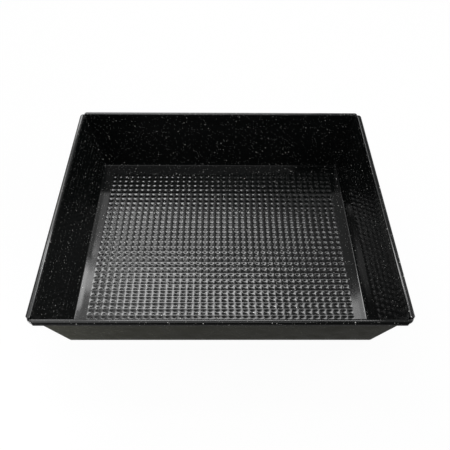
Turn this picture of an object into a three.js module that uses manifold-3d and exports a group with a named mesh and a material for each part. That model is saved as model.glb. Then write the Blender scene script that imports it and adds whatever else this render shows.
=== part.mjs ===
// A deep sheet-steel baking pan: one folded blank with a waffle base, and the wire rolled into its rim.
// Millimetres, +Z up. The origin is under the middle of the base, at the tips of the waffle.
import * as THREE from "three";
import { mergeVertices } from "three/addons/utils/BufferGeometryUtils.js";
import Module from "manifold-3d";

// Driving dimensions
const RIM_LENGTH = 380; // over the beads, along X
const RIM_WIDTH = 320; // over the beads, along Y
const HEIGHT = 80; // from the waffle tips to the top of the bead
const SHEET = 0.8; // steel thickness
const WALL_LEAN = 12.7; // degrees from upright, the same on all four walls
const BASE_BEND_RADIUS = 2; // inside the fold between base and wall
const CORNER_RADIUS = 4; // outside the upright folds
const WIRE_DIAMETER = 3.6;
const WIRE_CLEARANCE = 0.3; // between the wire and the sheet rolled round it
const WIRE_END_GAP = 2; // where the two ends of the wire meet inside the back hem
const HEM_WRAP = 300; // degrees that the sheet is rolled round the wire
const HEM_SQUARENESS = 3.2; // 2 is a round bead, higher has a flatter top and sides
const CORNER_CLIP = 8.5; // from the square corner of the rim to the cut end of a hem
const CORNER_SLOT = 3; // width of the relief slot between two hems
const DIMPLE_COLUMNS = 38;
const DIMPLE_ROWS = 30;
const DIMPLE_DEPTH = 0.6;
const FLAT_MARGIN = 14.5; // from the outside of a wall's foot to the first dimple
const FLAP_REACH = 52; // length of a folded corner flap under the rim
const FLAP_LAYERS = 2; // the flap is the blank's corner folded double

// Number of straight steps in each round stretch
const BEND_STEPS = 4;
const CORNER_STEPS = 4;
const HEM_STEPS = 12;
const WIRE_SIDES = 10;

// Derived sizes
const lean = THREE.MathUtils.degToRad(WALL_LEAN);
const upWall = new THREE.Vector2(Math.sin(lean), Math.cos(lean));
const awayFromWall = new THREE.Vector2(Math.cos(lean), -Math.sin(lean));
const wireRadius = WIRE_DIAMETER / 2;
const hemInside = wireRadius + WIRE_CLEARANCE;
const hemOutside = hemInside + SHEET;
const underside = DIMPLE_DEPTH;
const floorTop = underside + SHEET;
const hemEdge = hemRoll(hemOutside);
const hemTop = Math.max(...hemEdge.map((point) => point.y));
const hemReach = Math.max(...hemEdge.map((point) => point.x));
const hemCentreZ = HEIGHT - hemTop;
const wallRun = (hemCentreZ - underside + hemInside * Math.sin(lean)) / Math.cos(lean);
const hemCentre = upWall.clone().multiplyScalar(wallRun).addScaledVector(awayFromWall, hemInside);
hemCentre.y += underside;
const rimReach = hemCentre.x + hemReach;
const bendOutside = BASE_BEND_RADIUS + SHEET;
const bendTangent = bendOutside * Math.tan((Math.PI / 2 - lean) / 2);
const baseLength = RIM_LENGTH - 2 * rimReach;
const baseWidth = RIM_WIDTH - 2 * rimReach;

const wasm = await Module();
wasm.setup();

// Points along an arc, both ends included, in the plane of a section: x outward, y up
function arc(centre, radius, from, to, steps) {
  return Array.from({ length: steps + 1 }, (_, i) => {
    const angle = from + ((to - from) * i) / steps;
    return new THREE.Vector2(Math.cos(angle), Math.sin(angle)).multiplyScalar(radius).add(centre);
  });
}

// The roll of the hem, about its own centre: a squared round with a level top
function hemRoll(radius) {
  const from = Math.PI - lean;
  const to = from - THREE.MathUtils.degToRad(HEM_WRAP);
  const roll = arc(new THREE.Vector2(), 1, from, to, HEM_STEPS);
  return roll.map((point) => {
    const across = Math.abs(point.x) ** HEM_SQUARENESS;
    const up = Math.abs(point.y) ** HEM_SQUARENESS;
    return point.multiplyScalar(radius / (across + up) ** (1 / HEM_SQUARENESS));
  });
}

// The outside of a wall at height z, as a distance outward from the foot of the wall
function wallOffset(z) {
  return (z - underside) * Math.tan(lean);
}

// A rounded rectangle, anticlockwise from the front right corner
function roundedRectangle(length, width, radius, steps) {
  const points = [];
  const signs = [[1, -1], [1, 1], [-1, 1], [-1, -1]];
  signs.forEach(([sx, sy], corner) => {
    const centre = new THREE.Vector2(sx * (length / 2 - radius), sy * (width / 2 - radius));
    const start = ((corner - 1) * Math.PI) / 2;
    points.push(...arc(centre, radius, start, start + Math.PI / 2, steps));
  });
  return points;
}

// The plan of the sheet at one point of its section
function planAt(point) {
  const radius = CORNER_RADIUS + point.x - wallOffset(point.y);
  return roundedRectangle(baseLength + 2 * point.x, baseWidth + 2 * point.x, radius, CORNER_STEPS);
}

// The section of a wall: up its outer skin, round inside the hem, back outside it and down the inner skin
function wallSection() {
  const bendCentre = new THREE.Vector2(-bendTangent, underside + bendOutside);
  const bendFrom = -Math.PI / 2;
  const bendTo = -lean;
  const insideHem = hemRoll(hemInside).map((point) => point.add(hemCentre));
  const outsideHem = hemRoll(hemOutside).map((point) => point.add(hemCentre));
  return [
    ...arc(bendCentre, bendOutside, bendFrom, bendTo, BEND_STEPS),
    ...insideHem,
    ...outsideHem.reverse(),
    ...arc(bendCentre, BASE_BEND_RADIUS, bendTo, bendFrom, BEND_STEPS),
  ];
}

// Collects triangles by their corner points
class Skin {
  corners = [];
  triangle(a, b, c) {
    this.corners.push(...a, ...b, ...c);
  }
  quad(a, b, c, d) {
    this.triangle(a, b, c);
    this.triangle(a, c, d);
  }
  geometry() {
    const positions = new THREE.Float32BufferAttribute(this.corners, 3);
    return new THREE.BufferGeometry().setAttribute("position", positions);
  }
}

// The flat band round the waffle and the waffle itself, at one level, facing up or down
function addBase(skin, outline, level, facingUp) {
  const spanX = baseLength - 2 * FLAT_MARGIN;
  const spanY = baseWidth - 2 * FLAT_MARGIN;
  const x = (column) => spanX * (column / DIMPLE_COLUMNS - 0.5);
  const y = (row) => spanY * (row / DIMPLE_ROWS - 0.5);
  const face = (a, b, c) => (facingUp ? skin.triangle(a, b, c) : skin.triangle(c, b, a));

  const hole = [];
  for (let i = 0; i < DIMPLE_COLUMNS; i++) hole.push(new THREE.Vector2(x(i), y(0)));
  for (let i = 0; i < DIMPLE_ROWS; i++) hole.push(new THREE.Vector2(x(DIMPLE_COLUMNS), y(i)));
  for (let i = DIMPLE_COLUMNS; i > 0; i--) hole.push(new THREE.Vector2(x(i), y(DIMPLE_ROWS)));
  for (let i = DIMPLE_ROWS; i > 0; i--) hole.push(new THREE.Vector2(x(0), y(i)));
  hole.reverse();
  const flat = [...outline, ...hole].map((p) => [p.x, p.y, level]);
  for (const [a, b, c] of THREE.ShapeUtils.triangulateShape(outline, [hole])) {
    face(flat[a], flat[b], flat[c]);
  }

  for (let i = 0; i < DIMPLE_COLUMNS; i++) {
    for (let j = 0; j < DIMPLE_ROWS; j++) {
      const tip = [(x(i) + x(i + 1)) / 2, (y(j) + y(j + 1)) / 2, level - DIMPLE_DEPTH];
      const around = [[x(i), y(j)], [x(i + 1), y(j)], [x(i + 1), y(j + 1)], [x(i), y(j + 1)]];
      around.forEach(([ax, ay], k) => {
        const [bx, by] = around[(k + 1) % around.length];
        face([ax, ay, level], [bx, by, level], tip);
      });
    }
  }
}

// A closed mesh as a solid for cutting and joining
function solidOf(geometry) {
  geometry.deleteAttribute("normal");
  geometry.deleteAttribute("uv");
  const merged = mergeVertices(geometry);
  const vertProperties = new Float32Array(merged.attributes.position.array);
  const triVerts = new Uint32Array(merged.index.array);
  return new wasm.Manifold(new wasm.Mesh({ numProp: 3, vertProperties, triVerts }));
}

function geometryOf(solid) {
  const mesh = solid.getMesh();
  const geometry = new THREE.BufferGeometry();
  geometry.setAttribute("position", new THREE.BufferAttribute(mesh.vertProperties, 3));
  geometry.setIndex(new THREE.BufferAttribute(mesh.triVerts, 1));
  geometry.computeVertexNormals();
  return geometry;
}

// The pressed and folded blank, with its hem still running round the corners
function foldedSheet() {
  const skin = new Skin();
  const rings = wallSection().map((point) => planAt(point).map((p) => [p.x, p.y, point.y]));
  rings.slice(1).forEach((upper, i) => {
    const lower = rings[i];
    lower.forEach((_, k) => {
      const next = (k + 1) % lower.length;
      skin.quad(lower[k], lower[next], upper[next], upper[k]);
    });
  });
  const planOf = (ring) => ring.map(([px, py]) => new THREE.Vector2(px, py));
  addBase(skin, planOf(rings[0]), underside, false);
  addBase(skin, planOf(rings.at(-1)), floorTop, true);
  return solidOf(skin.geometry());
}

// The cut at one corner of the rim: both hems clipped at 45 degrees, with a slot between down to the wire
function cornerCutter(sx, sy) {
  const side = 4 * CORNER_CLIP;
  const top = HEIGHT + hemOutside;
  const block = (inward, width, bottom) => {
    const box = new THREE.BoxGeometry(side + inward, width, top - bottom);
    box.translate((side - inward) / 2, 0, (top + bottom) / 2);
    box.rotateZ(Math.atan2(sy, sx));
    box.translate((sx * RIM_LENGTH) / 2, (sy * RIM_WIDTH) / 2, 0);
    return solidOf(box);
  };
  const clip = block(CORNER_CLIP / Math.SQRT2, 2 * side, hemCentreZ - 2 * hemOutside);
  const slot = block(2 * (hemOutside + hemInside), CORNER_SLOT, hemCentreZ);
  return clip.add(slot);
}

// The folded-back corner of the blank: a double triangle lying flat on the outside of an end wall
function cornerFlap(sx, sy) {
  const thickness = FLAP_LAYERS * SHEET;
  const topZ = hemCentreZ - hemOutside;
  const slope = (topZ - underside) / Math.cos(lean);
  const footZ = underside + bendTangent * Math.cos(lean);
  const foldAt = (z) => baseWidth / 2 - CORNER_RADIUS + wallOffset(z);
  const halfTop = foldAt(topZ);
  const side = sx * sy;
  const outline = new THREE.Shape([
    new THREE.Vector2(side * foldAt(footZ), bendTangent),
    new THREE.Vector2(side * halfTop, slope),
    new THREE.Vector2(side * (halfTop - FLAP_REACH), slope),
  ]);
  const flap = new THREE.ExtrudeGeometry(outline, {
    depth: thickness + SHEET / 2,
    bevelEnabled: false,
  });
  flap.translate(0, 0, -SHEET / 2);
  const along = new THREE.Vector3(0, 1, 0);
  const up = new THREE.Vector3(upWall.x, 0, upWall.y);
  const out = new THREE.Vector3(awayFromWall.x, 0, awayFromWall.y);
  flap.applyMatrix4(new THREE.Matrix4().makeBasis(along, up, out));
  flap.translate(baseLength / 2, 0, underside);
  if (sx < 0) flap.rotateZ(Math.PI);
  return solidOf(flap);
}

function panBody() {
  let body = foldedSheet();
  for (const sx of [1, -1]) {
    for (const sy of [1, -1]) {
      body = body.add(cornerFlap(sx, sy));
      body = body.subtract(cornerCutter(sx, sy));
    }
  }
  return geometryOf(body);
}

// The rim wire: from the middle of the back, round the four corners and back to its other end
function rimWire() {
  const length = RIM_LENGTH - 2 * hemReach;
  const width = RIM_WIDTH - 2 * hemReach;
  const bend = CORNER_RADIUS + hemInside;
  const corners = roundedRectangle(length, width, bend, CORNER_STEPS);
  const perCorner = CORNER_STEPS + 1;
  const fromBackLeft = [...corners.slice(2 * perCorner), ...corners.slice(0, 2 * perCorner)];
  const back = width / 2;
  const route = [
    new THREE.Vector2(-WIRE_END_GAP / 2, back),
    ...fromBackLeft,
    new THREE.Vector2(WIRE_END_GAP / 2, back),
  ];

  const section = Array.from({ length: WIRE_SIDES }, (_, i) => {
    const angle = (2 * Math.PI * (i + 0.5)) / WIRE_SIDES;
    return [wireRadius * Math.cos(angle), wireRadius * Math.sin(angle)];
  });
  const rings = route.map((point, i) => {
    const before = route[Math.max(i - 1, 0)];
    const after = route[Math.min(i + 1, route.length - 1)];
    const into = point.clone().sub(before).normalize();
    const outOf = after.clone().sub(point).normalize();
    const heading = into.add(outOf).normalize();
    const ends = i === 0 || i === route.length - 1;
    const turn = ends ? 0 : Math.PI / 4 / CORNER_STEPS;
    const sideways = new THREE.Vector2(-heading.y, heading.x).divideScalar(Math.cos(turn));
    return section.map(([across, up]) => [
      point.x + sideways.x * across,
      point.y + sideways.y * across,
      hemCentreZ + up,
    ]);
  });

  const skin = new Skin();
  rings.slice(1).forEach((upper, i) => {
    const lower = rings[i];
    lower.forEach((_, k) => {
      const next = (k + 1) % lower.length;
      skin.quad(lower[k], lower[next], upper[next], upper[k]);
    });
  });
  const first = rings[0];
  const last = rings.at(-1);
  for (let k = 1; k < WIRE_SIDES - 1; k++) {
    skin.triangle(first[0], first[k + 1], first[k]);
    skin.triangle(last[0], last[k], last[k + 1]);
  }
  return geometryOf(solidOf(skin.geometry()));
}

const coating = new THREE.MeshStandardMaterial({ color: 0x1b1c1b, roughness: 0.3, metalness: 0.1 });
const coatedWire = new THREE.MeshStandardMaterial({ color: 0x161716, roughness: 0.4, metalness: 0.2 });

const bakingPan = new THREE.Group();
bakingPan.name = "baking_pan";
for (const [name, geometry, material] of [
  ["pan_body", panBody(), coating],
  ["rim_wire", rimWire(), coatedWire],
]) {
  const mesh = new THREE.Mesh(geometry, material);
  mesh.name = name;
  bakingPan.add(mesh);
}

export default bakingPan;
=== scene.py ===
"""A deep black speckled baking pan with a waffle base, a rim rolled round a wire and clipped corners."""
import math

import bmesh
import bpy
import numpy as np
from mathutils import Matrix, Vector
from mathutils.geometry import delaunay_2d_cdt


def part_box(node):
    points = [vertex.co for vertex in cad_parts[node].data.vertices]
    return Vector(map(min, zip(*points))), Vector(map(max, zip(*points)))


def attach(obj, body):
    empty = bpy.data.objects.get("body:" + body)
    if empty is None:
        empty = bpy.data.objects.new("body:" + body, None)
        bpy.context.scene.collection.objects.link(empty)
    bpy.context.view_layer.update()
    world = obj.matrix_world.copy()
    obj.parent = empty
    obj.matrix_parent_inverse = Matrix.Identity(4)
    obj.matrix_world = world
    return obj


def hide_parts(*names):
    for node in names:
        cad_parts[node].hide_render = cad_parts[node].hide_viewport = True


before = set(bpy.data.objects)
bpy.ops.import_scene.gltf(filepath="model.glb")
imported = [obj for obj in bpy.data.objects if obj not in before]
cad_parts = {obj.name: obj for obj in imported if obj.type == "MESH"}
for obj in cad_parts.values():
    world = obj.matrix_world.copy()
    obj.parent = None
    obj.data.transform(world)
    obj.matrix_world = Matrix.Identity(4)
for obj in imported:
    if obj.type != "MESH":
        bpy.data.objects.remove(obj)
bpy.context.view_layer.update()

MM = 0.001

# The pan's sizes: the outside comes from the frame
body_low, body_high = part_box("pan_body")
RIM_LENGTH = body_high.x - body_low.x
RIM_WIDTH = body_high.y - body_low.y
HEIGHT = body_high.z
SHEET = 0.8 * MM
WALL_LEAN = math.radians(12.7)
BASE_BEND_RADIUS = 2 * MM
CORNER_RADIUS = 4 * MM
WIRE_RADIUS = 1.8 * MM
WIRE_CLEARANCE = 0.3 * MM
WIRE_END_GAP = 2 * MM
HEM_WRAP = math.radians(300)
HEM_SQUARENESS = 3.2  # 2 is a round bead, higher has a flatter top and sides
CORNER_CLIP = 8.5 * MM
CORNER_SLOT = 3 * MM
DIMPLE_COLUMNS = 38
DIMPLE_ROWS = 30
DIMPLE_DEPTH = 0.6 * MM
DIMPLE_SQUARENESS = 6.0  # 2 is a round bowl, higher is squarer
DIMPLE_ROUNDNESS = 0.8  # 0 is a straight-sided point, 1 is a round bowl
FLAT_MARGIN = 14.5 * MM
PRESS_UNEVENNESS = 0.12  # the shallowest dimple is this much short of the full depth
WAVE_HEIGHT = 0.07 * MM  # slow waves left in the pressed base
WAVE_LENGTH = 64 * MM
WAVE_PHASE_X = 1.3
WAVE_PHASE_Y = 0.4
WAVE_RATIO_Y = 0.8  # turns along Y for each turn along X
SLANT_RATIO = 1.4  # turns of a second, slanted set of waves for each turn of the first
SLANT = 0.6  # how far the second set is turned from the X axis
SLANT_SHARE = 0.6  # height of the second set against the first
PRESS_SEED = 4
FLAP_REACH = 52 * MM
FLAP_LAYERS = 2
FLAP_EDGE = 0.5 * MM
LIP_SHADE_SLOPE = 0.6  # the hem takes the low-gloss coat of painted shade where its normal rises less than this
SHEET_CREASE = math.radians(35)  # edges that turn more than this stay sharp
WIRE_CREASE = math.radians(50)

# Steps in each round or divided stretch of the fine meshes
BEND_STEPS = 8
CORNER_STEPS = 10
HEM_STEPS = 36
WALL_STEPS = 8
SIDE_STEPS = 24
WIRE_SIDES = 20
FLOOR_CELL_STEPS = 8
UNDER_CELL_STEPS = 4
FLAP_EDGE_STEPS = 3


def arc(centre_x, centre_z, radius, start, end, steps):
    """Points along an arc, both ends included."""
    angles = np.linspace(start, end, steps + 1)
    return [(centre_x + radius * math.cos(a), centre_z + radius * math.sin(a)) for a in angles]


def hem_roll(radius):
    """The roll of the hem about its own centre: a squared round with a level top."""
    start = math.pi - WALL_LEAN
    points = []
    for angle in np.linspace(start, start - HEM_WRAP, HEM_STEPS + 1):
        across = abs(math.cos(angle)) ** HEM_SQUARENESS
        up = abs(math.sin(angle)) ** HEM_SQUARENESS
        reach = radius / (across + up) ** (1 / HEM_SQUARENESS)
        points.append((reach * math.cos(angle), reach * math.sin(angle)))
    return points


# Derived sizes
HEM_INSIDE = WIRE_RADIUS + WIRE_CLEARANCE
HEM_OUTSIDE = HEM_INSIDE + SHEET
UNDERSIDE = DIMPLE_DEPTH
FLOOR_TOP = UNDERSIDE + SHEET
HEM_REACH, HEM_TOP = np.max(hem_roll(HEM_OUTSIDE), axis=0)
HEM_Z = HEIGHT - HEM_TOP
WALL_RUN = (HEM_Z - UNDERSIDE + HEM_INSIDE * math.sin(WALL_LEAN)) / math.cos(WALL_LEAN)
HEM_X = WALL_RUN * math.sin(WALL_LEAN) + HEM_INSIDE * math.cos(WALL_LEAN)
BASE_LENGTH = RIM_LENGTH - 2 * (HEM_X + HEM_REACH)
BASE_WIDTH = RIM_WIDTH - 2 * (HEM_X + HEM_REACH)
BEND_OUTSIDE = BASE_BEND_RADIUS + SHEET
BEND_TANGENT = BEND_OUTSIDE * math.tan((math.pi / 2 - WALL_LEAN) / 2)
WAFFLE_LENGTH = BASE_LENGTH - 2 * FLAT_MARGIN
WAFFLE_WIDTH = BASE_WIDTH - 2 * FLAT_MARGIN

# The coats: their order on the body, the speckle, and how uneven they are
INSIDE, OUTSIDE, LIP_SHADE = range(3)
FINE_SPECK_SPACING = 1.6 * MM
FINE_SPECK_SIZE = 0.42 * MM
FINE_SPECK_STRENGTH = 0.5
BOLD_SPECK_SPACING = 4.2 * MM
BOLD_SPECK_SIZE = 0.72 * MM
SPECK_SHARE = 0.6  # of the cells hold a speck
SPECK_SOFTNESS = 0.25  # of the largest speck's reach is a soft edge
SPECK_BLUE = 0.96  # the specks are a little warmer than white
SPECK_RELIEF = 0.5
CLOUD_LENGTH = 60 * MM
CLOUD_CONTRAST = 0.3
GRIME_LENGTH = 14 * MM
GRIME_CONTRAST = 0.2
GRIME_RANGE = (0.3, 0.7)  # of the noise, spread over the whole contrast
PEEL_LENGTH = 1.6 * MM
PEEL_HEIGHT = 0.03 * MM
PEEL_STRENGTH = 0.25

# The camera, as fitted to the photograph's frame of 450 by 450 pixels
IMAGE_SIZE = 450
FOCAL_PIXELS = 518.2
AXIS_ABOVE_CENTRE_PIXELS = 10.44
CAMERA_DISTANCE = 622.0 * MM
CAMERA_TARGET = Vector((4.85 * MM, 0, 53.39 * MM))
CAMERA_ELEVATION = math.radians(49.759)
CAMERA_YAW = math.radians(-0.841)
CAMERA_ROLL = math.radians(0.755)
SENSOR_MM = 36

# The floor, the room and the height of the lamps
AMBIENT = 0.4  # room light on matt surfaces
FLOOR_GLOW = 0.96
FLOOR_WHITE = 0.9
FLOOR_SPREAD = 6.0
LAMP_HEIGHT = 1.0

# Room light in mirror images, each a ramp: heading from, heading to, light from, light to
ROOM_BACK = (-0.1, 0.5, 0.12, 1.0)
ROOM_LEFT = (-0.6, 0.2, 2.4, 0.33)
ROOM_RIGHT = (0.3, 0.55, 0.0, 0.7)
ROOM_FAR_LEFT = (-0.52, -0.38, 0.28, 1.0)
ROOM_ABOVE = (0.55, 0.8, 0.4, 1.0)


def wall_offset(z):
    """How far the outside of a wall stands out from its foot at height z."""
    return (z - UNDERSIDE) * math.tan(WALL_LEAN)


def between(first, last, steps):
    """The points strictly between two points of the section."""
    shares = np.arange(1, steps) / steps
    return [tuple(np.add(first, s * np.subtract(last, first))) for s in shares]


def wall_section():
    """Up the outer skin, round inside the hem, back outside the hem and down the inner skin."""
    bend_z = UNDERSIDE + BEND_OUTSIDE
    outer_bend = arc(-BEND_TANGENT, bend_z, BEND_OUTSIDE, -math.pi / 2, -WALL_LEAN, BEND_STEPS)
    hem_in = [(HEM_X + x, HEM_Z + z) for x, z in hem_roll(HEM_INSIDE)]
    hem_out = [(HEM_X + x, HEM_Z + z) for x, z in reversed(hem_roll(HEM_OUTSIDE))]
    inner_bend = arc(-BEND_TANGENT, bend_z, BASE_BEND_RADIUS, -WALL_LEAN, -math.pi / 2, BEND_STEPS)
    outer_wall = between(outer_bend[-1], hem_in[0], WALL_STEPS)
    inner_wall = between(hem_out[-1], inner_bend[0], WALL_STEPS)
    margin_edge = BEND_TANGENT + BASE_BEND_RADIUS / 2
    return (
        [(-margin_edge, UNDERSIDE)] + outer_bend + outer_wall + hem_in
        + hem_out + inner_wall + inner_bend + [(-margin_edge, FLOOR_TOP)]
    )


def rounded_rectangle(length, width, radius, corner_steps, side_steps):
    """Anticlockwise points from the front right corner, the straight sides divided too."""
    points = []
    for corner, (sx, sy) in enumerate([(1, -1), (1, 1), (-1, 1), (-1, -1)]):
        start = (corner - 1) * math.pi / 2
        points.append(arc(
            sx * (length / 2 - radius), sy * (width / 2 - radius), radius,
            start, start + math.pi / 2, corner_steps,
        ))
    route = []
    for corner, stretch in enumerate(points):
        route += stretch
        route += between(stretch[-1], points[(corner + 1) % len(points)][0], side_steps)
    return route


def plan_at(x, z):
    """The plan of the sheet at one point of its section."""
    radius = CORNER_RADIUS + x - wall_offset(z)
    return rounded_rectangle(BASE_LENGTH + 2 * x, BASE_WIDTH + 2 * x, radius, CORNER_STEPS, SIDE_STEPS)


class Skin:
    """Collects vertices and faces for one mesh."""

    def __init__(self):
        self.points = []
        self.faces = []

    def add_points(self, points):
        first = len(self.points)
        self.points += [tuple(p) for p in points]
        return list(range(first, len(self.points)))

    def bridge(self, lower, upper):
        for k in range(len(lower)):
            n = (k + 1) % len(lower)
            self.faces.append((lower[k], lower[n], upper[n], upper[k]))

    def mesh(self, name):
        made = bpy.data.meshes.new(name)
        made.from_pydata(self.points, [], self.faces)
        made.validate()
        return made


def dimple(u, v):
    """The share of full depth at a place in one cell, with u and v from -1 to 1."""
    power = DIMPLE_SQUARENESS
    reach = (abs(u) ** power + abs(v) ** power) ** (1 / power)
    if reach > 1:
        return 0.0
    straight = 1 - reach
    rounded = 0.5 * (1 + math.cos(math.pi * reach))
    return straight + DIMPLE_ROUNDNESS * (rounded - straight)


def wave(x, y):
    """The slow waves of the pressed base, which die out toward the flat band."""
    turn = 2 * math.pi / WAVE_LENGTH
    along = math.sin(turn * x + WAVE_PHASE_X) * math.cos(WAVE_RATIO_Y * turn * y + WAVE_PHASE_Y)
    slanted = math.sin(SLANT_RATIO * turn * (x - SLANT * y))
    fade = (1 - (2 * x / WAFFLE_LENGTH) ** 2) * (1 - (2 * y / WAFFLE_WIDTH) ** 2)
    return WAVE_HEIGHT * fade * (along + SLANT_SHARE * slanted)


def add_base(skin, outer_ring, level, cell_steps, facing_up):
    """The flat band and the waffle at one level, inside an outer ring that is already there."""
    unevenness = PRESS_UNEVENNESS if facing_up else 0
    chances = np.random.default_rng(PRESS_SEED).random((DIMPLE_COLUMNS + 1, DIMPLE_ROWS + 1))
    press = DIMPLE_DEPTH * (1 - unevenness * chances)
    columns = DIMPLE_COLUMNS * cell_steps
    rows = DIMPLE_ROWS * cell_steps
    depths = [
        [dimple(2 * i / cell_steps - 1, 2 * j / cell_steps - 1) for j in range(cell_steps)]
        for i in range(cell_steps)
    ]
    grid = []
    for i in range(columns + 1):
        x = WAFFLE_LENGTH * (i / columns - 0.5)
        line = []
        for j in range(rows + 1):
            y = WAFFLE_WIDTH * (j / rows - 0.5)
            depth = press[i // cell_steps, j // cell_steps] * depths[i % cell_steps][j % cell_steps]
            lift = wave(x, y) if facing_up else 0
            line.append((x, y, level + lift - depth))
        grid.append(skin.add_points(line))

    def face(*corners):
        skin.faces.append(corners if facing_up else corners[::-1])

    for i in range(columns):
        for j in range(rows):
            face(grid[i][j], grid[i + 1][j], grid[i + 1][j + 1], grid[i][j + 1])

    edge = [grid[i][0] for i in range(columns)]
    edge += [grid[columns][j] for j in range(rows)]
    edge += [grid[i][rows] for i in range(columns, 0, -1)]
    edge += [grid[0][j] for j in range(rows, 0, -1)]
    band = list(outer_ring) + edge
    plan = [Vector(skin.points[index][:2]) for index in band]
    sides = [(k, (k + 1) % len(outer_ring)) for k in range(len(outer_ring))]
    sides += [(len(outer_ring) + k, len(outer_ring) + (k + 1) % len(edge)) for k in range(len(edge))]
    inside_only = 1
    same_point = 1e-7
    triangles = delaunay_2d_cdt(plan, sides, [], inside_only, same_point)[2]
    for corners in triangles:
        middle = sum((plan[k] for k in corners), Vector((0, 0))) / len(corners)
        if abs(middle.x) > WAFFLE_LENGTH / 2 or abs(middle.y) > WAFFLE_WIDTH / 2:
            face(*(band[k] for k in corners))


def new_object(name, data):
    made = bpy.data.objects.new(name, data)
    bpy.context.scene.collection.objects.link(made)
    return made


def object_from(shape, name):
    """Turns a finished bmesh into an object."""
    mesh = bpy.data.meshes.new(name)
    shape.to_mesh(mesh)
    shape.free()
    return new_object(name, mesh)


def folded_sheet():
    """The pressed and folded blank, with its hem still running round the corners."""
    skin = Skin()
    rings = [skin.add_points((x, y, z) for x, y in plan_at(offset, z)) for offset, z in wall_section()]
    for lower, upper in zip(rings, rings[1:]):
        skin.bridge(lower, upper)
    add_base(skin, rings[0], UNDERSIDE, UNDER_CELL_STEPS, facing_up=False)
    add_base(skin, rings[-1], FLOOR_TOP, FLOOR_CELL_STEPS, facing_up=True)
    return new_object("pan_body_fine", skin.mesh("pan_body_fine"))


def box_object(name, size, matrix):
    """A plain box, used only to cut."""
    shape = bmesh.new()
    bmesh.ops.create_cube(shape, size=1, matrix=matrix @ Matrix.Diagonal((*size, 1)))
    return object_from(shape, name)


def corner_cutters(sx, sy):
    """The two boxes that clip both hems at a corner and open the slot between them, down to the wire."""
    side = 4 * CORNER_CLIP
    top = HEIGHT + HEM_OUTSIDE
    corner = Matrix.Translation((sx * RIM_LENGTH / 2, sy * RIM_WIDTH / 2, 0))
    turned = corner @ Matrix.Rotation(math.atan2(sy, sx), 4, "Z")
    boxes = []
    for inward, width, bottom in [
        (CORNER_CLIP / math.sqrt(2), 2 * side, HEM_Z - 2 * HEM_OUTSIDE),
        (2 * (HEM_OUTSIDE + HEM_INSIDE), CORNER_SLOT, HEM_Z),
    ]:
        place = turned @ Matrix.Translation(((side - inward) / 2, 0, (top + bottom) / 2))
        boxes.append(box_object("cutter", (side + inward, width, top - bottom), place))
    return boxes


def corner_flap(sx, sy):
    """The folded-back corner of the blank, lying flat on the outside of an end wall."""
    top_z = HEM_Z - HEM_OUTSIDE
    foot_z = UNDERSIDE + BEND_TANGENT * math.cos(WALL_LEAN)
    up = Vector((math.sin(WALL_LEAN), 0, math.cos(WALL_LEAN)))
    out = Vector((math.cos(WALL_LEAN), 0, -math.sin(WALL_LEAN)))
    foot = Vector((BASE_LENGTH / 2, 0, UNDERSIDE))

    def on_wall(z, back):
        fold = BASE_WIDTH / 2 - CORNER_RADIUS + wall_offset(z)
        return foot + up * ((z - UNDERSIDE) / math.cos(WALL_LEAN)) + Vector((0, fold - back, 0))

    outline = [on_wall(foot_z, 0), on_wall(top_z, 0), on_wall(top_z, FLAP_REACH)]
    shape = bmesh.new()
    inner = [shape.verts.new(p - out * SHEET / 2) for p in outline]
    outer = [shape.verts.new(p + out * FLAP_LAYERS * SHEET) for p in outline]
    shape.faces.new(inner)
    lid = shape.faces.new(outer[::-1])
    for k in range(len(outline)):
        n = (k + 1) % len(outline)
        shape.faces.new((inner[n], inner[k], outer[k], outer[n]))
    bmesh.ops.bevel(
        shape, geom=list(lid.edges), offset=FLAP_EDGE, segments=FLAP_EDGE_STEPS, profile=0.5,
        affect="EDGES",
    )
    bmesh.ops.transform(shape, matrix=Matrix.Diagonal((sx, sy, 1, 1)), verts=shape.verts)
    bmesh.ops.recalc_face_normals(shape, faces=shape.faces)
    return object_from(shape, "flap")


def combine(piece, tool, operation):
    """Joins a tool to a piece or cuts it away, and removes the tool."""
    modifier = piece.modifiers.new(operation, "BOOLEAN")
    modifier.operation = operation
    modifier.solver = "MANIFOLD"
    modifier.object = tool
    scene_state = bpy.context.evaluated_depsgraph_get()
    old = piece.data
    piece.data = bpy.data.meshes.new_from_object(piece.evaluated_get(scene_state))
    piece.modifiers.clear()
    bpy.data.meshes.remove(old)
    bpy.data.objects.remove(tool)


def smooth(piece, sharp_angle):
    piece.data.shade_smooth()
    piece.data.set_sharp_from_angle(angle=sharp_angle)


def keep_band_flat(piece):
    """A crease round the waffle, so that its slopes do not shade the flat band beside it."""
    near = 0.01 * MM

    def on_border(place):
        beyond = max(abs(place.x) - WAFFLE_LENGTH / 2, abs(place.y) - WAFFLE_WIDTH / 2)
        return abs(beyond) < near and place.z < FLOOR_TOP + near

    on_edge = [on_border(point.co) for point in piece.data.vertices]
    for edge in piece.data.edges:
        if all(on_edge[index] for index in edge.vertices):
            edge.use_edge_sharp = True


def pan_body():
    piece = folded_sheet()
    for sx in (1, -1):
        for sy in (1, -1):
            combine(piece, corner_flap(sx, sy), "UNION")
            for cutter in corner_cutters(sx, sy):
                combine(piece, cutter, "DIFFERENCE")
    smooth(piece, SHEET_CREASE)
    keep_band_flat(piece)
    return piece


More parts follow.
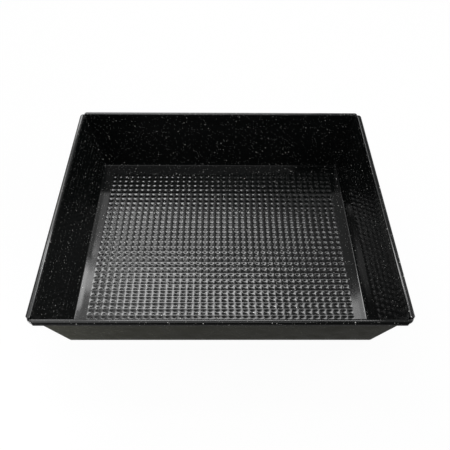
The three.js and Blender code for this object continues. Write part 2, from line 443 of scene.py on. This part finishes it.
def rim_wire():
    """A round wire from the middle of the back, round the four corners, to its other end."""
    length = RIM_LENGTH - 2 * HEM_REACH
    width = RIM_WIDTH - 2 * HEM_REACH
    corners = rounded_rectangle(length, width, CORNER_RADIUS + HEM_INSIDE, CORNER_STEPS, 1)
    start = 2 * (CORNER_STEPS + 1)
    back = width / 2
    route = [(-WIRE_END_GAP / 2, back), *corners[start:], *corners[:start], (WIRE_END_GAP / 2, back)]
    curve = bpy.data.curves.new("rim_wire_fine", "CURVE")
    curve.dimensions = "3D"
    spline = curve.splines.new("POLY")
    spline.points.add(len(route) - 1)
    for point, (x, y) in zip(spline.points, route):
        point.co = (x, y, HEM_Z, 1)
    curve.bevel_depth = WIRE_RADIUS
    curve.bevel_resolution = WIRE_SIDES // 4
    curve.use_fill_caps = True
    rod = new_object("rod", curve)
    scene_state = bpy.context.evaluated_depsgraph_get()
    mesh = bpy.data.meshes.new_from_object(rod.evaluated_get(scene_state))
    bpy.data.objects.remove(rod)
    piece = new_object("rim_wire_fine", mesh)
    smooth(piece, WIRE_CREASE)
    return piece


class Nodes:
    """A short way to write the nodes of one tree."""

    def __init__(self, tree):
        self.tree = tree

    def add(self, kind, settings=None, **inputs):
        node = self.tree.nodes.new(kind)
        for name, value in (settings or {}).items():
            setattr(node, name, value)
        for name, value in inputs.items():
            self.put(node, name.replace("_", " "), value)
        return node

    def put(self, node, name, value):
        socket = node.inputs[int(name)] if name.isdigit() else node.inputs[name]
        if isinstance(value, bpy.types.NodeSocket):
            self.tree.links.new(value, socket)
        else:
            socket.default_value = value

    def math(self, operation, a, b=0.0):
        node = self.add("ShaderNodeMath", {"operation": operation})
        self.put(node, "0", a)
        self.put(node, "1", b)
        return node.outputs[0]

    def remap(self, value, low, high, to_low, to_high):
        node = self.add(
            "ShaderNodeMapRange", {"interpolation_type": "SMOOTHSTEP"},
            Value=value, From_Min=low, From_Max=high, To_Min=to_low, To_Max=to_high,
        )
        return node.outputs["Result"]

    def mix(self, share, first, second):
        node = self.add("ShaderNodeMix")
        self.put(node, "0", share)
        self.put(node, "2", first)
        self.put(node, "3", second)
        return node.outputs[0]

    def mix_colour(self, share, first, second):
        node = self.add("ShaderNodeMix", {"data_type": "RGBA"})
        self.put(node, "0", share)
        self.put(node, "6", first)
        self.put(node, "7", second)
        return node.outputs[2]

    def mix_shader(self, share, first, second):
        node = self.add("ShaderNodeMixShader", Fac=share)
        self.put(node, "1", first.outputs[0])
        self.put(node, "2", second.outputs[0])
        return node


def noise(nodes, place, length, detail):
    """Smooth random values that change over about the given length."""
    return nodes.add("ShaderNodeTexNoise", Vector=place, Scale=1 / length, Detail=detail).outputs["Fac"]


def specks(nodes, place, spacing, size):
    """A mask of round specks of random size, one in a share of the cells of the given spacing."""
    cells = nodes.add(
        "ShaderNodeTexVoronoi", {"feature": "F1"}, Vector=place, Scale=1 / spacing, Randomness=1.0,
    )
    chance = nodes.add("ShaderNodeSeparateColor", Color=cells.outputs["Color"])
    reach = nodes.remap(chance.outputs["Red"], 1 - SPECK_SHARE, 1.0, 0.0, size / spacing)
    inside = nodes.math("SUBTRACT", reach, cells.outputs["Distance"])
    return nodes.remap(inside, 0.0, SPECK_SOFTNESS * size / spacing, 0.0, 1.0)


def coating_material(name, base, speck_level, roughness, specular):
    """Black coating with a fine white speckle."""
    material = bpy.data.materials.new(name)
    material.use_nodes = True
    nodes = Nodes(material.node_tree)
    shader = material.node_tree.nodes["Principled BSDF"]
    place = nodes.add("ShaderNodeTexCoord").outputs["Object"]
    fine = specks(nodes, place, FINE_SPECK_SPACING, FINE_SPECK_SIZE)
    bold = specks(nodes, place, BOLD_SPECK_SPACING, BOLD_SPECK_SIZE)
    speck = nodes.math("MAXIMUM", nodes.math("MULTIPLY", fine, FINE_SPECK_STRENGTH), bold)
    cloud = noise(nodes, place, CLOUD_LENGTH, detail=4.0)
    darker = (*[(1 - CLOUD_CONTRAST) * c for c in base], 1)
    lighter = (*[(1 + CLOUD_CONTRAST) * c for c in base], 1)
    black = nodes.mix_colour(cloud, darker, lighter)
    speck_colour = (speck_level, speck_level, SPECK_BLUE * speck_level, 1)
    nodes.put(shader, "Base Color", nodes.mix_colour(speck, black, speck_colour))

    grime = noise(nodes, place, GRIME_LENGTH, detail=5.0)
    smoother = (1 - GRIME_CONTRAST) * roughness
    rougher = (1 + GRIME_CONTRAST) * roughness
    nodes.put(shader, "Roughness", nodes.remap(grime, *GRIME_RANGE, smoother, rougher))
    nodes.put(shader, "Specular IOR Level", specular)
    peel = noise(nodes, place, PEEL_LENGTH, detail=3.0)
    height = nodes.math("ADD", peel, nodes.math("MULTIPLY", speck, SPECK_RELIEF))
    bump = nodes.add("ShaderNodeBump", Height=height, Strength=PEEL_STRENGTH, Distance=PEEL_HEIGHT)
    nodes.put(shader, "Normal", bump.outputs["Normal"])
    return material


def on_hem(place):
    """True for the rolled edge, which turns the inside of the sheet outward."""
    outward = max(abs(place.x) - BASE_LENGTH / 2, abs(place.y) - BASE_WIDTH / 2)
    return outward > HEM_X - HEM_INSIDE / 2 and place.z > HEM_Z - HEM_OUTSIDE


def coat_body(piece, inside, outside, edge):
    """The inside coat on top, a low-gloss coat of painted shade round the outside and underside of the hem,
    and the outside coat below.
    """
    piece.data.materials.clear()
    for material in (inside, outside, edge):
        piece.data.materials.append(material)
    for face in piece.data.polygons:
        if on_hem(face.center):
            # Painted shade: hem faces that turn sideways or down take the low-gloss coat, so they stay dark
            # as if in the rim's shade
            face.material_index = LIP_SHADE if face.normal.z < LIP_SHADE_SLOPE else INSIDE
        else:
            face.material_index = OUTSIDE if face.normal.z < 0 else INSIDE


def dress(piece, node):
    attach(piece, "root")
    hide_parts(node)


def mirror_ray(nodes, path):
    """1 for rays that left a mirror-like or a clear surface."""
    return nodes.math("MAXIMUM", path["Is Glossy Ray"], path["Is Transmission Ray"])


def make_world():
    """White to the camera. In mirror images it is lightest left of the middle and dark behind the camera."""
    world = bpy.data.worlds.new("studio")
    world.use_nodes = True
    nodes = Nodes(world.node_tree)
    path = nodes.add("ShaderNodeLightPath").outputs
    heading = nodes.add("ShaderNodeTexCoord").outputs["Generated"]
    towards = nodes.add("ShaderNodeSeparateXYZ", Vector=heading).outputs
    from_back = nodes.remap(towards["Y"], *ROOM_BACK)
    from_left = nodes.remap(towards["X"], *ROOM_LEFT)
    from_right = nodes.remap(towards["X"], *ROOM_RIGHT)
    from_far_left = nodes.remap(towards["X"], *ROOM_FAR_LEFT)
    from_above = nodes.remap(towards["Z"], *ROOM_ABOVE)
    left = nodes.math("MULTIPLY", from_left, from_far_left)
    sides = nodes.math("MULTIPLY", from_above, nodes.math("ADD", left, from_right))
    room = nodes.math("MULTIPLY", from_back, sides)
    unseen = nodes.mix(mirror_ray(nodes, path), AMBIENT, room)
    background = world.node_tree.nodes["Background"]
    nodes.put(background, "Color", (1, 1, 1, 1))
    nodes.put(background, "Strength", nodes.mix(path["Is Camera Ray"], unseen, 1.0))
    bpy.context.scene.world = world


def make_floor():
    """A wide white floor that shows a faint shadow under the pan, and is clear from below."""
    shape = bmesh.new()
    bmesh.ops.create_grid(shape, x_segments=1, y_segments=1, size=FLOOR_SPREAD)
    floor = object_from(shape, "floor")
    material = bpy.data.materials.new("white_floor")
    material.use_nodes = True
    nodes = Nodes(material.node_tree)
    nodes.tree.nodes.clear()
    path = nodes.add("ShaderNodeLightPath").outputs
    seen = nodes.math("MAXIMUM", path["Is Camera Ray"], mirror_ray(nodes, path))
    matt = nodes.add("ShaderNodeBsdfDiffuse", Color=(FLOOR_WHITE, FLOOR_WHITE, FLOOR_WHITE, 1))
    glow = nodes.add("ShaderNodeEmission")
    clear = nodes.add("ShaderNodeBsdfTransparent")
    from_below = nodes.add("ShaderNodeNewGeometry").outputs["Backfacing"]
    white = nodes.mix_shader(nodes.math("MULTIPLY", seen, FLOOR_GLOW), matt, glow)
    surface = nodes.mix_shader(from_below, white, clear)
    nodes.add("ShaderNodeOutputMaterial", Surface=surface.outputs[0])
    floor.data.materials.append(material)


def area_light(name, place, aim, size, brightness):
    """A rectangular lamp whose face has the given brightness, where 1 is white."""
    light = bpy.data.lights.new(name, "AREA")
    light.shape = "RECTANGLE"
    light.size, light.size_y = size
    light.energy = brightness * math.pi * size[0] * size[1]
    lamp = new_object(name, light)
    lamp.location = place
    lamp.visible_camera = False
    lamp.rotation_mode = "QUATERNION"
    lamp.rotation_quaternion = (Vector(aim) - Vector(place)).to_track_quat("-Z", "Y")


def hanging_light(name, x, y, size, brightness):
    """A lamp at the common height that faces straight down."""
    area_light(name, (x, y, LAMP_HEIGHT), (x, y, 0), size, brightness)


def make_camera():
    flat = math.cos(CAMERA_ELEVATION)
    back = Vector((
        math.sin(CAMERA_YAW) * flat, -math.cos(CAMERA_YAW) * flat, math.sin(CAMERA_ELEVATION),
    ))
    level = Vector((math.cos(CAMERA_YAW), math.sin(CAMERA_YAW), 0))
    upright = back.cross(level)
    right = math.cos(CAMERA_ROLL) * level + math.sin(CAMERA_ROLL) * upright
    up = math.cos(CAMERA_ROLL) * upright - math.sin(CAMERA_ROLL) * level
    data = bpy.data.cameras.new("camera")
    data.sensor_width = SENSOR_MM
    data.lens = FOCAL_PIXELS / IMAGE_SIZE * SENSOR_MM
    data.shift_y = -AXIS_ABOVE_CENTRE_PIXELS / IMAGE_SIZE
    camera = new_object("camera", data)
    turn = Matrix((right, up, back)).transposed().to_4x4()
    camera.matrix_world = Matrix.Translation(CAMERA_TARGET + back * CAMERA_DISTANCE) @ turn
    bpy.context.scene.camera = camera


make_camera()
inside_coat = coating_material(
    "speckled_coating", base=(0.0036, 0.0042, 0.0041), speck_level=0.5, roughness=0.09, specular=0.5,
)
outside_coat = coating_material(
    "outside_coating", base=(0.016, 0.016, 0.0116), speck_level=0.07, roughness=0.30, specular=0.003,
)
wire_coat = coating_material(
    "wire_coating", base=(0.005, 0.005, 0.005), speck_level=0.25, roughness=0.25, specular=0.4,
)
# Painted shade under the rim: a nearly gloss-free coat with dimmer specks, so the hem's outer and lower
# faces stay dark and do not mirror the white floor
lip_shade_coat = coating_material(
    "lip_shade_coating", base=(0.005, 0.005, 0.005), speck_level=0.25, roughness=0.30, specular=0.02,
)
body = pan_body()
coat_body(body, inside_coat, outside_coat, lip_shade_coat)
dress(body, "pan_body")
wire = rim_wire()
wire.data.materials.append(wire_coat)
dress(wire, "rim_wire")
make_world()
make_floor()
hanging_light("softbox", -0.22, 0.545, (0.28, 0.17), 10)
hanging_light("softbox_left", -0.49, 0.59, (0.26, 0.09), 4.3)
hanging_light("softbox_right", 0.05, 0.50, (0.26, 0.17), 7.6)
hanging_light("right", 0.33, 0.44, (0.30, 0.15), 4.8)
hanging_light("near", -0.11, 0.41, (0.58, 0.14), 1.6)
area_light("left", (-0.65, 0.80, LAMP_HEIGHT), (-0.19, 0, 0.08), (0.3, 0.3), 2.5)
hanging_light("overhead", -0.15, -0.15, (0.8, 0.3), 1.4)
area_light("right_side", (0.95, 0.05, 0.6), (-0.17, 0, 0.05), (0.5, 0.5), 4.5)
area_light("left_front", (-0.40, -0.30, 0.05), (-0.15, -0.15, 0.04), (0.2, 0.08), 36)
area_light("low_back", (-0.2, 1.3, 0.95), (-0.05, 0.15, 0.08), (1.2, 0.16), 5)
bpy.context.scene.view_settings.view_transform = "Standard"
